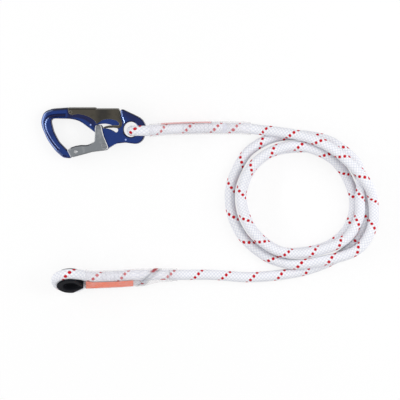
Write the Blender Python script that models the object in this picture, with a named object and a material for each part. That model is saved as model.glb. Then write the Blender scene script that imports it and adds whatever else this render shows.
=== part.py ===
"""Rope lanyard with a self-locking snap hook at one end and a thimble eye at the other.

Frame: +Z up, the table at Z = 0. The hook lies on its side with its nose on the table and its
rope eye lifted by the sewn rope loop, nose towards -X. The origin is under the middle of the hook.
Lengths below are millimetres, turned into metres where a shape is made.
"""

import math

import bmesh
import bpy
from mathutils import Matrix, Vector

MM = 0.001
GAP = 0.3  # between two pieces that meet

# Rope
ROPE_D = 11.0
TUBE_SIDES_RES = 4
ROPE_POINT_COUNT = 80
LOOP_POINT_COUNT = 70

# Snap hook body, forged, in its own frame: origin at the rope eye's centre, nose towards -X
BODY_T = 10.0
CHEEK_T = 6.6  # thinned cheek that the lever and the gate straddle
EYE_R = 15.9
EYE_BORE_R = 8.2
NOSE_REACH = 97.6
EDGE_R = 2.0
SPINE_EDGE_R = 4.2  # fuller rounding of the outer edge, from the back round to the nose
SPINE_GROOVE_R = 1.9
SPINE_GROOVE_DEPTH = 1.0
PEAK_EDGE_R = 1.2
EYE_AT = (40.6, 3.3)
EYE_LIFT = 17.3

# Folded steel lever and gate
SHEET_T = 1.5
LEVER_INSIDE = CHEEK_T + 2 * GAP
GATE_INSIDE = 10.8
SHEARED_EDGE_R = 0.5
GATE_EDGE_R = 1.0
LEVER_FOLD_R = 1.6
GATE_FOLD_R = 2.4

# Rivets and pins
PIN_FIT = 0.15
GATE_PIVOT = (-29.1, -17.5)
GATE_PIVOT_R = 2.0
TAIL_PIN_SWING_R = 20.9
TAIL_PIN_ANGLE = 106.0
TAIL_PIN_R = 1.5
NOSE_RIVET = (-59.4, -24.2)
NOSE_RIVET_R = 1.3
LEVER_PIVOT = (-65.3, 18.4)
LEVER_PIVOT_R = 1.4
HEAD_OVER = 0.6  # how far a rivet head reaches past its shank
HEAD_T = 0.5
SPACER_R = 3.8

# Curved slot in which the gate's tail pin runs
SLOT_W = 5.0
GATE_OPEN_ANGLE = 42.0
SLOT_FROM = TAIL_PIN_ANGLE + 5.0
SLOT_TO = TAIL_PIN_ANGLE - GATE_OPEN_ANGLE - 12.0

# Springs
GATE_WIRE = 1.0
GATE_COIL_R = 4.8
GATE_LEG = (10.0, 6.6)  # from the pivot to the hole in the cheek that holds the spring's fixed leg
LEVER_WIRE = 0.7
LEVER_COIL_R = 1.8
LEVER_COIL_TURNS = 5
LEVER_SPRING_X = -30.0
POCKET_DEPTH = 5.0

# Sewn eyes: rope, thread, label and clear sleeve, one over the other
THREAD_D = 0.5
THREAD_R = ROPE_D / 2 + 0.5
LABEL_R = ROPE_D / 2 + 0.9
LABEL_T = 0.25
SLEEVE_R = ROPE_D / 2 + 1.3
SLEEVE_T = 0.4
SEWN_Z = ROPE_D / 2 + 1.85  # height of a strand inside a sleeve that lies on the table
STRAND_PITCH = ROPE_D + 0.35
LOOP_RISE = 1.3  # how far the rope stands off the rope eye's rim
LOOP_DROP = 1.6  # how far the rope lies to the gate's side of the rope eye

# Thimble
THIMBLE_BORE_R = 8.0
THIMBLE_WALL = 1.7
THIMBLE_FLANGE_R = 14.9
THIMBLE_W = ROPE_D + 0.8 + 2 * THIMBLE_WALL
THIMBLE_TIP = 14.5
THIMBLE_SHOULDER_ANGLE = 72.0
THIMBLE_SIDE_FROM = 60  # degrees round the bore, from its point, where the straight sides start
THIMBLE_SIDE_NORMAL = 52.0  # direction that a straight side faces
THIMBLE_SIDE_LENGTH = 12.0
THIMBLE_TILT = 62.0  # degrees that the eye stands up from the table
THIMBLE_SAG = 10.0  # degrees that its point drops in the eye's own plane
THIMBLE_AT = (-24.6, -159.7)

# The free rope: points along its centre, from the hook's sleeve over three and a half turns to the
# thimble's sleeve. The turns that were laid first lie on the table, the last one crosses on top.
ROPE_ROUTE = [
    (159, 5, SEWN_Z), (162.5, 5, SEWN_Z), (182, 2.5, 10), (192.5, 1.5, 14.5), (232.5, -6, 23.5),
    (261.5, -20.5, 27.5), (294, -53.5, 26.5), (301, -72, 16.5), (302, -94.5, 14), (298, -108.5, 16),
    (288.5, -123, 17.5), (275.5, -131, 17), (228.5, -141.5, 15), (213.5, -142, 12), (199.5, -139, 7.5),
    (186, -133.5, 5.6), (162, -113.5, 5.6), (149, -86.5, 5.6), (148, -58.5, 5.6), (160, -30, 5.6),
    (169.5, -18.5, 5.6), (193.5, -5.5, 5.6), (223, -3, 6), (251, -8, 12.5), (265, -15.5, 16.5),
    (285.5, -36, 17), (288.5, -57.5, 16.5), (287.5, -68.5, 15), (286, -92.5, 15), (269, -117, 17),
    (211.5, -130.5, 17), (183, -118.5, 17), (164, -93, 17), (159.5, -62.5, 17), (172, -35.5, 17),
    (196.5, -18.5, 17), (222.5, -14.5, 17), (256.5, -27.5, 14.5), (274, -49.5, 6.5), (281.5, -76, 5.6),
    (274.5, -103, 5.6), (253.5, -122, 5.6), (211.5, -130, 5.6), (196.5, -126, 5.6), (172.5, -106.5, 5.6),
    (160.5, -77.5, 5.6), (160.5, -62.5, 5.6), (172.5, -36, 5.6), (196.5, -19.5, 5.6), (249, -18, 5.6),
    (273.5, -29.5, 5.6), (290.5, -53.5, 5.6), (295, -81.5, 5.6), (289, -107.5, 5.6), (271.5, -129, 5.6),
    (232.5, -147.5, 5.6), (172.5, -156, 5.6), (128, -153.5, 6), (91, -153.5, 7.4), (82, -153.5, 8),
]

# Flat outlines in the hook's frame: corner points with the radius that rounds each one
BODY_OUTLINE = [
    (-55.6, -27.6, 2.4), (-55.6, -22.4, 2.4), (-69.3, -22.3, 1.0), (-78.2, -13.1, 14), (-83.9, -2.4, 22),
    (-87.5, 11.9, 3.4), (-66.0, 11.5, 30), (-56.0, 9.4, 20), (-44.9, 1.4, 30), (-38.9, -3.3, 3),
    (-34.2, -22.0, 4.4), (-26.0, -21.3, 4), (-16.4, -15.4, 9), (-6.0, -14.3, 10), (12.1, -16.8, 15.9),
    (19.2, 8.6, 15.9), (-12.0, 23.4, 2.5), (-10.1, 14.2, 1.2), (-14.5, 14.6, 1), (-50.0, 20.6, 20),
    (-66.0, 24.0, 4), (-85.4, 22.6, 12), (-95.0, 19.2, 9), (-98.3, 8.0, 14), (-96.2, 0.5, 20),
    (-90.7, -11.8, 30), (-81.9, -23.6, 25), (-73.6, -30.6, 9), (-66.0, -31.2, 3), (-63.4, -28.4, 3),
]
SPINE_CORNERS = (20, 27)  # corners of the outline that are its spine's outer edge
SPINE_GROOVE = [
    (-70.6, 15.5), (-81.0, 15.2), (-88.4, 13.6), (-92.4, 9.8), (-93.4, 5.0), (-92.4, -0.8), (-89.0, -8.0),
    (-83.6, -16.0), (-78.0, -22.2),
]
BACK = ((-68.5, 22.07), (-16.5, 14.69))  # line to which the body's back is cut under the lever
CHEEK_OUTLINE = [
    (-68.3, 26.0, 0.2), (-68.3, 18.0, 2), (-66.0, 13.2, 3), (-58.0, 14.4, 8), (-50.0, 12.0, 10),
    (-44.0, 7.5, 8), (-40.5, 0.5, 3), (-44.0, -8.0, 3), (-44.0, -26.0, 1), (-20.0, -30.0, 1),
    (-14.5, -13.0, 6), (-7.6, -2.0, 6), (-6.9, 6.5, 5), (-10.3, 16.4, 4), (-10.3, 26.0, 0.2),
]
PEAK_STEP = [(-9.2, 13.2, 0), (-6.9, 6.5, 5), (-7.25, 2.25, 0)]  # the cheek's rim in front of the peak
LEVER_OUTLINE = [
    (-67.9, 23.9, 1.4), (-67.9, 19.4, 1.5), (-64.8, 15.5, 1.4), (-57.0, 16.7, 6), (-49.7, 15.2, 10),
    (-44.9, 13.3, 10), (-40.4, 10.5, 6), (-38.2, 8.4, 4), (-37.3, 5.6, 1.0), (-34.9, 7.0, 1.5),
    (-31.5, 9.8, 5), (-26.4, 11.0, 8), (-20.8, 10.9, 8), (-15.4, 9.6, 4), (-12.0, 6.4, 2),
    (-12.9, 4.2, 1.6), (-18.0, 4.5, 8), (-23.3, 4.3, 10), (-27.0, 3.4, 4), (-29.6, 2.5, 0.6),
    (-29.4, 1.0, 0.6), (-25.5, 1.6, 8), (-19.4, 1.8, 8), (-12.6, 1.1, 3), (-9.6, 3.4, 3),
    (-8.9, 7.5, 4), (-11.0, 14.0, 8), (-13.6, 22.8, 1.4), (-37.6, 22.8, 1), (-38.6, 23.9, 1),
]
LEVER_FOLDS = [((-36.0, 23.9), (-68.4, 23.9)), ((-12.4, 22.8), (-37.8, 22.8))]
GATE_OUTLINE = [
    (-68.9, -22.6, 1.2), (-65.2, -19.5, 3), (-60.2, -17.8, 10), (-54.0, -16.7, 12), (-46.9, -16.9, 10),
    (-39.2, -13.4, 2.5), (-38.3, 4.9, 3.0), (-31.9, 4.9, 2.8), (-29.4, -6.2, 20), (-23.8, -20.0, 2),
    (-27.4, -22.4, 3), (-43.1, -24.3, 15), (-50.7, -26.4, 15), (-60.2, -28.9, 10), (-64.7, -30.1, 1.6),
]
GATE_FOLD_CORNERS = (1, 4)
# What the fold leaves open between the two plates: all but the band along the top edge
LEVER_HOLLOW = [
    (-75, -20, 0), (-75, 22.3, 0), (-39.2, 22.3, 1), (-38.2, 21.2, 1), (-5, 21.2, 0), (-5, -20, 0),
]
GATE_HOLLOW = [
    (-75, -40, 0), (-75, 0, 0), (-65.3, 0, 0), (-65.3, -21.3, 0.5), (-64.6, -20.9, 1), (-60.0, -19.4, 8),
    (-54.0, -18.2, 10), (-46.9, -18.4, 8), (-43.6, -17.2, 0.5), (-43.6, 12, 0), (-15, 12, 0), (-15, -40, 0),
]

# The two legs of each sewn eye, as (X, Y, height) of the strand's centre
HOOK_LOWER_LEG = [
    (158.8, 5.0, SEWN_Z), (140, 5.1, SEWN_Z), (120, 5.0, SEWN_Z), (100, 4.6, SEWN_Z), (84, 4.0, SEWN_Z),
    (71, 3.1, SEWN_Z), (60, 2.2, SEWN_Z),
]
HOOK_UPPER_LEG = [
    (60, 2.2, 27.8), (66, 2.7, 25.2), (73, 3.3, 22.2), (81, 3.8, 19.8), (91, 4.3, SEWN_Z + STRAND_PITCH),
    (104, 4.7, SEWN_Z + STRAND_PITCH), (122, 5.0, SEWN_Z + STRAND_PITCH), (132, 5.1, SEWN_Z + STRAND_PITCH),
    (141.5, 5.1, SEWN_Z + STRAND_PITCH),
]
# The lower leg of the thimble eye and, at each of its points, the distance between the two legs
THIMBLE_LOWER_LEG = [
    (-19.3, -166.9, 5.8), (-14.1, -164.8, 7.3), (-9.1, -162.0, 9.2), (-2.6, -161.6, 8.6), (6.9, -161.2, 7.8),
    (16.4, -160.8, 7.4), (27.4, -160.3, SEWN_Z), (43.4, -159.2, SEWN_Z),
]
THIMBLE_LEG_GAPS = [29.95, 24.9, 15.9, 12.5, 11.6, 11.4, 11.4, 11.4]
THIMBLE_TAIL_END = (54.0, -158.6, 7.4)


def smooth_span(a, b, c, d, share):
    """Point at a share of the way from b to c on the smooth curve through a, b, c and d."""
    knots = [0.0]
    for p, q in ((a, b), (b, c), (c, d)):
        knots.append(knots[-1] + max(math.sqrt((q - p).length), 1e-6))
    t = knots[1] + (knots[2] - knots[1]) * share
    level = [a, b, c, d]
    for width in (1, 2, 3):
        merged = []
        for k in range(4 - width):
            start, end = (knots[k], knots[k + width]) if width < 3 else (knots[1], knots[2])
            merged.append(level[k].lerp(level[k + 1], (t - start) / (end - start)))
        level = merged
    return level[0]


def smooth_path(points, count):
    """Reads count evenly spaced points from a smooth curve through the given ones."""
    p = [Vector(q) for q in points]
    p = [2 * p[0] - p[1], *p, 2 * p[-1] - p[-2]]
    dense = [smooth_span(*four, k / 10) for four in zip(p, p[1:], p[2:], p[3:]) for k in range(10)]
    dense.append(p[-2])
    lengths = [0.0]
    for a, b in zip(dense, dense[1:]):
        lengths.append(lengths[-1] + (b - a).length)
    path, k = [], 0
    for i in range(count):
        at = lengths[-1] * i / (count - 1)
        while k < len(dense) - 2 and lengths[k + 1] < at:
            k += 1
        share = (at - lengths[k]) / max(lengths[k + 1] - lengths[k], 1e-9)
        path.append(dense[k].lerp(dense[k + 1], min(share, 1.0)))
    return path


def rounded(corners, step=14.0):
    """Turns (x, y, radius) corners into outline points, each corner an arc of at most step degrees a piece."""
    points = []
    for i, (x, y, radius) in enumerate(corners):
        here = Vector((x, y))
        before = Vector(corners[i - 1][:2]) - here
        after = Vector(corners[(i + 1) % len(corners)][:2]) - here
        turn = math.pi - before.angle(after)
        if radius < 0.05 or turn < 0.03:
            points.append((x, y))
            continue
        cut = min(radius * math.tan(turn / 2), 0.48 * before.length, 0.48 * after.length)
        radius = cut / math.tan(turn / 2)
        start, end = here + before.normalized() * cut, here + after.normalized() * cut
        middle = here + (before.normalized() + after.normalized()).normalized() * radius / math.cos(turn / 2)
        pieces = max(2, math.ceil(math.degrees(turn) / step))
        first, swept = start - middle, (end - middle).angle_signed(start - middle)
        for k in range(pieces + 1):
            angle = swept * k / pieces
            c, s = math.cos(angle), math.sin(angle)
            points.append((middle.x + c * first.x - s * first.y, middle.y + s * first.x + c * first.y))
    return points


def stretch(corners, first, last):
    """The rounded part of an outline from midway before one corner to midway after another."""
    ends = []
    for a, b in ((corners[first - 1], corners[first]), (corners[last], corners[last + 1])):
        ends.append(((a[0] + b[0]) / 2, (a[1] + b[1]) / 2, 0))
    return rounded([ends[0], *corners[first : last + 1], ends[1]])


def arc(centre, radius, start, end, pieces):
    """Points on an arc, angles in degrees."""
    angles = [math.radians(start + (end - start) * k / pieces) for k in range(pieces + 1)]
    return [(centre[0] + radius * math.cos(a), centre[1] + radius * math.sin(a)) for a in angles]


def tail_pin_place():
    """Centre of the gate's tail pin, which swings round the gate's pivot."""
    return arc(GATE_PIVOT, TAIL_PIN_SWING_R, TAIL_PIN_ANGLE, TAIL_PIN_ANGLE, 1)[0]


def slot_outline():
    """The curved slot round the gate's pivot, with round ends."""
    mid, half = TAIL_PIN_SWING_R + 0.3, SLOT_W / 2
    ends = [arc(GATE_PIVOT, mid, a, a, 1)[0] for a in (SLOT_FROM, SLOT_TO)]
    return (
        arc(GATE_PIVOT, mid + half, SLOT_FROM, SLOT_TO, 8)
        + arc(ends[1], half, SLOT_TO, SLOT_TO - 180, 7)[1:-1]
        + arc(GATE_PIVOT, mid - half, SLOT_TO, SLOT_FROM, 8)
        + arc(ends[0], half, SLOT_FROM + 180, SLOT_FROM, 7)[1:-1]
    )


def principled(name, colour, roughness, metallic=0.0, alpha=1.0):
    """A plain material of the piece's own colour."""
    material = bpy.data.materials.new(name)
    material.use_nodes = True
    shader = material.node_tree.nodes["Principled BSDF"]
    shader.inputs["Base Color"].default_value = (*colour, 1.0)
    shader.inputs["Roughness"].default_value = roughness
    shader.inputs["Metallic"].default_value = metallic
    shader.inputs["Alpha"].default_value = alpha
    return material


def collection(name):
    """A new collection in the scene."""
    made = bpy.data.collections.new(name)
    bpy.context.scene.collection.children.link(made)
    return made


def add_object(name, data, material, parent=None):
    """Links a mesh or curve into the lanyard's collection."""
    obj = bpy.data.objects.new(name, data)
    LANYARD.objects.link(obj)
    data.materials.append(material)
    obj.parent = parent
    return obj


def mesh_from(name, bm):
    """Closes a bmesh into a mesh with its normals out and smooth, except at corners."""
    bmesh.ops.recalc_face_normals(bm, faces=bm.faces)
    mesh = bpy.data.meshes.new(name)
    bm.to_mesh(mesh)
    bm.free()
    mesh.shade_smooth()
    mesh.set_sharp_from_angle(angle=math.radians(35))
    return mesh


def slab(name, outlines, thickness, edge=0.0, edge_pieces=2):
    """A flat outline, with any holes after it, filled and made thick about Z = 0, as a closed mesh."""
    curve = bpy.data.curves.new(name, "CURVE")
    curve.dimensions = "2D"
    curve.fill_mode = "BOTH"
    curve.extrude = (thickness / 2 - edge) * MM
    curve.bevel_depth = edge * MM
    curve.bevel_resolution = edge_pieces
    curve.offset = -edge * MM
    for outline in outlines:
        spline = curve.splines.new("POLY")
        spline.points.add(len(outline) - 1)
        for point, (x, y) in zip(spline.points, outline):
            point.co = (x * MM, y * MM, 0, 1)
        spline.use_cyclic_u = True
    carrier = bpy.data.objects.new(name + "_outline", curve)
    CUTTERS.objects.link(carrier)
    evaluated = carrier.evaluated_get(bpy.context.evaluated_depsgraph_get())
    mesh = bpy.data.meshes.new_from_object(evaluated)
    bpy.data.objects.remove(carrier)
    bpy.data.curves.remove(curve)
    bm = bmesh.new()
    bm.from_mesh(mesh)
    bpy.data.meshes.remove(mesh)
    bmesh.ops.remove_doubles(bm, verts=bm.verts, dist=1e-6)
    return mesh_from(name, bm)


def cylinder(name, radius, low, high, pieces=24):
    """A round bar along Z from low to high, as a mesh."""
    bm = bmesh.new()
    place = Matrix.Translation((0, 0, (low + high) / 2 * MM))
    bmesh.ops.create_cone(
        bm, cap_ends=True, segments=pieces, radius1=radius * MM, radius2=radius * MM,
        depth=(high - low) * MM, matrix=place,
    )
    return mesh_from(name, bm)


def turned(name, profile, pieces=24):
    """A shape turned about Z from (radius, height) points that run down its outer side, top to bottom."""
    bm = bmesh.new()
    verts = [bm.verts.new((r * MM, 0, z * MM)) for r, z in profile]
    for a, b in zip(verts, verts[1:]):
        bm.edges.new((a, b))
    bmesh.ops.spin(
        bm, geom=bm.verts[:] + bm.edges[:], cent=(0, 0, 0), axis=(0, 0, 1), angle=2 * math.pi, steps=pieces,
        use_merge=True,
    )
    bmesh.ops.remove_doubles(bm, verts=bm.verts, dist=1e-6)
    return mesh_from(name, bm)


def tube(name, path, radius, material, resolution=TUBE_SIDES_RES, parent=None):
    """A round bar or rope along a path of points."""
    curve = bpy.data.curves.new(name, "CURVE")
    curve.dimensions = "3D"
    curve.bevel_depth = radius * MM
    curve.bevel_resolution = resolution
    curve.use_fill_caps = True
    spline = curve.splines.new("POLY")
    spline.points.add(len(path) - 1)
    for point, place in zip(spline.points, path):
        point.co = (*(Vector(place) * MM), 1)
    spline.use_smooth = True
    return add_object(name, curve, material, parent)


def loft(name, rings):
    """A skin through rings of equal point counts, with flat ends."""
    bm = bmesh.new()
    rows = [[bm.verts.new(Vector(p) * MM) for p in ring] for ring in rings]
    count = len(rows[0])
    for a, b in zip(rows, rows[1:]):
        for k in range(count):
            bm.faces.new((a[k], a[(k + 1) % count], b[(k + 1) % count], b[k]))
    bm.faces.new(rows[0])
    bm.faces.new(rows[-1])
    return mesh_from(name, bm)


def sweep(name, line, section):
    """A section of (across, up) points carried along a flat line, with across to the line's left."""
    rings = []
    for k, point in enumerate(line):
        ahead = (Vector(line[min(k + 1, len(line) - 1)][:2]) - Vector(line[max(k - 1, 0)][:2])).normalized()
        left = Vector((-ahead.y, ahead.x))
        rings.append([(*(Vector(point[:2]) + across * left), up) for across, up in section])
    return loft(name, rings)


def round_edge(obj, name, line, height, radius, parent, pieces=4):
    """Rounds the edges above and below a flat line, where the piece lies to the line's left."""
    past = 0.8
    section = [(-past, height + past), (-past, height - radius)]
    for k in range(pieces + 1):
        angle = math.pi / 2 * k / pieces
        section.append((radius - radius * math.cos(angle), height - radius + radius * math.sin(angle)))
    section.append((radius, height + past))
    for side, suffix in ((1, "_top"), (-1, "_under")):
        shape = sweep(name + suffix, line, [(across, side * up) for across, up in section])
        combine(obj, cutter(name + suffix, shape, parent))


def shell(name, outer, inner):
    """A tube wall between outer and inner rings, open at both ends."""
    bm = bmesh.new()
    out = [[bm.verts.new(Vector(p) * MM) for p in ring] for ring in outer]
    ins = [[bm.verts.new(Vector(p) * MM) for p in ring] for ring in inner]
    count = len(out[0])
    for rows in (out, ins):
        for a, b in zip(rows, rows[1:]):
            for k in range(count):
                bm.faces.new((a[k], a[(k + 1) % count], b[(k + 1) % count], b[k]))
    for end in (0, -1):
        for k in range(count):
            bm.faces.new((out[end][k], out[end][(k + 1) % count], ins[end][(k + 1) % count], ins[end][k]))
    return mesh_from(name, bm)


def cutter(name, mesh, parent=None, location=(0, 0, 0)):
    """A hidden shape for a Boolean."""
    obj = bpy.data.objects.new(name, mesh)
    CUTTERS.objects.link(obj)
    obj.parent = parent
    obj.location = Vector(location) * MM
    obj.hide_render = True
    obj.display_type = "WIRE"
    return obj


def combine(obj, other, operation="DIFFERENCE"):
    """A Boolean modifier with the exact solver."""
    modifier = obj.modifiers.new(other.name, "BOOLEAN")
    modifier.operation = operation
    modifier.object = other
    modifier.solver = "EXACT"


def drill(obj, name, place, radius, low=-20.0, high=20.0, parent=None, pieces=24):
    """A round hole along the hook's Z."""
    combine(obj, cutter(name, cylinder(name, radius, low, high, pieces), parent, (*place, 0)))


def rivet(name, place, radius, reach, material, parent):
    """A rivet across the hook: a shank with a low round head on each side, seated reach from the middle."""
    head = radius + HEAD_OVER
    profile = [(0, reach + HEAD_T), (0.75 * head, reach + HEAD_T), (head, reach + 0.35 * HEAD_T), (head, reach)]
    profile += [(radius, reach), (radius, -reach), (head, -reach), (head, -reach - 0.35 * HEAD_T)]
    profile += [(0.75 * head, -reach - HEAD_T), (0, -reach - HEAD_T)]
    obj = add_object(name, turned(name, profile), material, parent)
    obj.location = Vector((*place, 0)) * MM
    return obj


def capsule(a, b, radius, slopes=(1.0, 1.0), pieces=10):
    """Ring of points round two strand centres in the plane of their X, longer where a strand slopes."""
    along = Vector((0, b.y - a.y, b.z - a.z)).normalized()
    across = Vector((0, -along.z, along.y))
    ring = []
    for centre, slope, start in ((b, slopes[1], -90), (a, slopes[0], 90)):
        for k in range(pieces + 1):
            angle = math.radians(start + 180 * k / pieces)
            ring.append(centre + radius * (slope * math.cos(angle) * along + math.sin(angle) * across))
    return ring


def leg_at(leg, x):
    """Centre of a leg where it passes x, and how much its slope lengthens its section."""
    pairs = [(a, b) for a, b in zip(leg, leg[1:]) if min(a.x, b.x) <= x <= max(a.x, b.x)]
    if not pairs:
        end = min((leg[0], leg[-1]), key=lambda p: abs(p.x - x))
        return Vector((x, end.y, end.z)), 1.0
    a, b = pairs[0]
    share = (x - a.x) / (b.x - a.x)
    return a.lerp(b, share), (b - a).length / abs(b.x - a.x)


def stations(start, end, step=6.0):
    """X of each ring along a wrap: its ends and the even steps between them, the same for all wraps."""
    first, last = math.ceil(start / step + 0.1), math.floor(end / step - 0.1)
    return [start] + [k * step for k in range(first, last + 1)] + [end]


def wrap_rings(lower, upper, places, radius):
    """Rings of a wrap round both legs at each X of places."""
    rings = []
    for x in places:
        (a, slope_a), (b, slope_b) = leg_at(lower, x), leg_at(upper, x)
        rings.append(capsule(a, b, radius, (slope_a, slope_b)))
    return rings


def stitching(name, lower, upper, start, end, turns, material):
    """Thread wound round both legs of a sewn eye."""
    steps = turns * 22
    path = []
    for k in range(steps + 1):
        x = start + (end - start) * k / steps
        (a, slope_a), (b, slope_b) = leg_at(lower, x), leg_at(upper, x)
        path.append(capsule(a, b, THREAD_R, (slope_a, slope_b))[k % 22])
    return tube(name, path, THREAD_D / 2, material, resolution=0)


def label(name, lower, upper, places, first, last, material):
    """A thin sheet over part of a wrap's ring, from ring point first to last, counted round."""
    rings = []
    for outer, inner in zip(
        wrap_rings(lower, upper, places, LABEL_R + LABEL_T), wrap_rings(lower, upper, places, LABEL_R)
    ):
        picked = [k % len(outer) for k in range(first, last + 1)]
        rings.append([outer[k] for k in picked] + [inner[k] for k in reversed(picked)])
    return add_object(name, loft(name, rings), material)


def make_body(hook, blue):
    """Forged body: a bar bent round the opening, a thin cheek for the levers and a round rope eye."""
    eye = arc((0, 0), EYE_BORE_R, 0, 360, 48)[:-1]
    body = add_object("hook_body", slab("hook_body", [rounded(BODY_OUTLINE), eye], BODY_T, EDGE_R), blue, hook)
    cheek = slab("cheek_cut", [rounded(CHEEK_OUTLINE)], 8.0)
    for side, name in ((1, "cheek_cut_top"), (-1, "cheek_cut_under")):
        combine(body, cutter(name, cheek, hook, (0, 0, side * (CHEEK_T / 2 + 4.0))))
    round_edge(body, "spine_edge", stretch(BODY_OUTLINE, *SPINE_CORNERS), BODY_T / 2, SPINE_EDGE_R, hook)
    round_edge(body, "peak_edge", rounded(PEAK_STEP), BODY_T / 2, PEAK_EDGE_R, hook, 2)
    make_groove(body, hook)
    back = [(BACK[0][0], 30), *BACK, (BACK[1][0], 30)]
    combine(body, cutter("back_cut", slab("back_cut", [back], 30), hook))
    combine(body, cutter("slot_cut", slab("slot_cut", [slot_outline()], 30), hook))
    drill(body, "gate_pivot_hole", GATE_PIVOT, GATE_PIVOT_R + PIN_FIT, parent=hook)
    drill(body, "lever_pivot_hole", LEVER_PIVOT, LEVER_PIVOT_R + PIN_FIT, parent=hook)
    leg = (GATE_PIVOT[0] + GATE_LEG[0], GATE_PIVOT[1] + GATE_LEG[1])
    drill(body, "spring_leg_hole", leg, GATE_WIRE / 2 + GAP, high=-CHEEK_T / 2 + 1.5, parent=hook, pieces=12)
    notch_r = NOSE_RIVET_R + 0.5
    x, y = NOSE_RIVET
    notch = arc((x, y), notch_r, 180, 360, 8) + [(x + notch_r, y + 4), (x - notch_r - 0.6, y + 4)]
    combine(body, cutter("nose_notch", slab("nose_notch", [notch], 30), hook))
    pocket = cutter("spring_pocket", cylinder("spring_pocket", LEVER_COIL_R + LEVER_WIRE / 2 + 0.35, 0, 12), hook)
    pocket.location = Vector((LEVER_SPRING_X, spring_foot() - GAP, 0)) * MM
    pocket.rotation_euler = (-math.pi / 2, 0, 0)
    combine(body, pocket)
    return body


def make_groove(body, hook):
    """Forged groove along the spine, the same on both faces."""
    line = smooth_path([(*p, 0) for p in SPINE_GROOVE], 26)
    centre = BODY_T / 2 + SPINE_GROOVE_R - SPINE_GROOVE_DEPTH
    section = [(x, y + centre) for x, y in arc((0, 0), SPINE_GROOVE_R, 0, 360, 12)[:-1]]
    for side, suffix in ((1, "_top"), (-1, "_under")):
        shape = sweep("spine_groove" + suffix, line, [(across, side * up) for across, up in section])
        combine(body, cutter("spine_groove" + suffix, shape, hook))


def spine_height(x):
    """Height of the body's back under the lever."""
    (x0, y0), (x1, y1) = BACK
    return y0 + (y1 - y0) * (x - x0) / (x1 - x0)


def spring_foot():
    """Where the lever's spring stands in its pocket."""
    return spine_height(LEVER_SPRING_X) - POCKET_DEPTH + GAP


def make_lever(hook, steel):
    """Locking lever: sheet steel folded over the back, with a window and a tongue that stops the tail pin."""
    outside = LEVER_INSIDE + 2 * SHEET_T
    lever = add_object(
        "lock_lever", slab("lock_lever", [rounded(LEVER_OUTLINE)], outside, SHEARED_EDGE_R, 1), steel, hook
    )
    for k, (start, end) in enumerate(LEVER_FOLDS):
        round_edge(lever, f"lever_fold_{k}", [start, end], outside / 2, LEVER_FOLD_R, hook)
    combine(lever, cutter("lever_hollow", slab("lever_hollow", [rounded(LEVER_HOLLOW)], LEVER_INSIDE), hook))
    drill(lever, "lever_rivet_hole", LEVER_PIVOT, LEVER_PIVOT_R + PIN_FIT, parent=hook)
    return lever


def make_gate(hook, steel):
    """Gate: a folded channel whose arm closes the nose and whose post reaches up to the tail pin."""
    outside = GATE_INSIDE + 2 * SHEET_T
    gate = add_object("gate_channel", slab("gate_channel", [rounded(GATE_OUTLINE)], outside, GATE_EDGE_R, 2), steel, hook)
    round_edge(gate, "gate_fold", stretch(GATE_OUTLINE, *GATE_FOLD_CORNERS)[::-1], outside / 2, GATE_FOLD_R, hook)
    combine(gate, cutter("gate_hollow", slab("gate_hollow", [rounded(GATE_HOLLOW)], GATE_INSIDE), hook))
    drill(gate, "gate_rivet_hole", GATE_PIVOT, GATE_PIVOT_R + PIN_FIT, parent=hook)
    drill(gate, "tail_pin_hole", tail_pin_place(), TAIL_PIN_R + PIN_FIT, parent=hook)
    drill(gate, "nose_rivet_hole", NOSE_RIVET, NOSE_RIVET_R + PIN_FIT, parent=hook)
    drill(gate, "spring_end_hole", spring_end_place(), GATE_WIRE / 2 + 0.4, high=0.0, parent=hook, pieces=12)
    return gate


def spring_end_place():
    """Hole in the gate's under plate that takes the end of its spring."""
    return (GATE_PIVOT[0] - 15.0, GATE_PIVOT[1] - 3.6)


def spring_layer():
    """Height of the gate spring's coil, between the body's cheek and the gate's under plate."""
    return -(CHEEK_T / 2 + GATE_INSIDE / 2) / 2


def make_gate_spring(hook, wire):
    """Torsion spring round the gate's pivot: one turn, a leg into the cheek and a leg into the gate."""
    z = spring_layer()
    x, y = GATE_PIVOT
    end = spring_end_place()
    dx, dy = GATE_LEG
    start = [(x + dx, y + dy, -CHEEK_T / 2 + 1.2), (x + dx, y + dy, z + 0.4), (x + dx - 0.6, y + dy - 0.1, z)]
    turn = [(*p, z) for p in arc(GATE_PIVOT, GATE_COIL_R, 80, -108, 14)]
    path = start + turn + [(end[0] + 1.4, end[1], z), (end[0] + 0.5, end[1], z - 0.1), (end[0], end[1], z - 0.6)]
    path += [(end[0], end[1], -GATE_INSIDE / 2 - SHEET_T + 0.2)]
    return tube("gate_spring", path, GATE_WIRE / 2, wire, resolution=1, parent=hook)


def make_lever_spring(hook, wire):
    """Compression spring that stands in the body's back and lifts the lever."""
    low = spring_foot() + LEVER_WIRE / 2
    high = LEVER_HOLLOW[3][1] - GAP - LEVER_WIRE / 2
    steps = LEVER_COIL_TURNS * 10
    path = []
    for k in range(steps + 1):
        angle = 2 * math.pi * LEVER_COIL_TURNS * k / steps
        lift = low + (high - low) * k / steps
        path.append((LEVER_SPRING_X + LEVER_COIL_R * math.cos(angle), lift, LEVER_COIL_R * math.sin(angle)))
    return tube("lever_spring", path, LEVER_WIRE / 2, wire, resolution=1, parent=hook)


def make_spacer(name, side, hook, metal):
    """Ring on the pivot rivet that keeps a gate plate clear of the cheek."""
    low, high = CHEEK_T / 2 + 0.15, GATE_INSIDE / 2 - 0.15
    inner = GATE_PIVOT_R + PIN_FIT
    profile = [(inner, high), (SPACER_R, high), (SPACER_R, low), (inner, low), (inner, high)]
    obj = add_object(name, turned(name, profile), metal, hook)
    obj.location = Vector((*GATE_PIVOT, 0)) * MM
    obj.rotation_euler = (0 if side > 0 else math.pi, 0, 0)
    return obj


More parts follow.
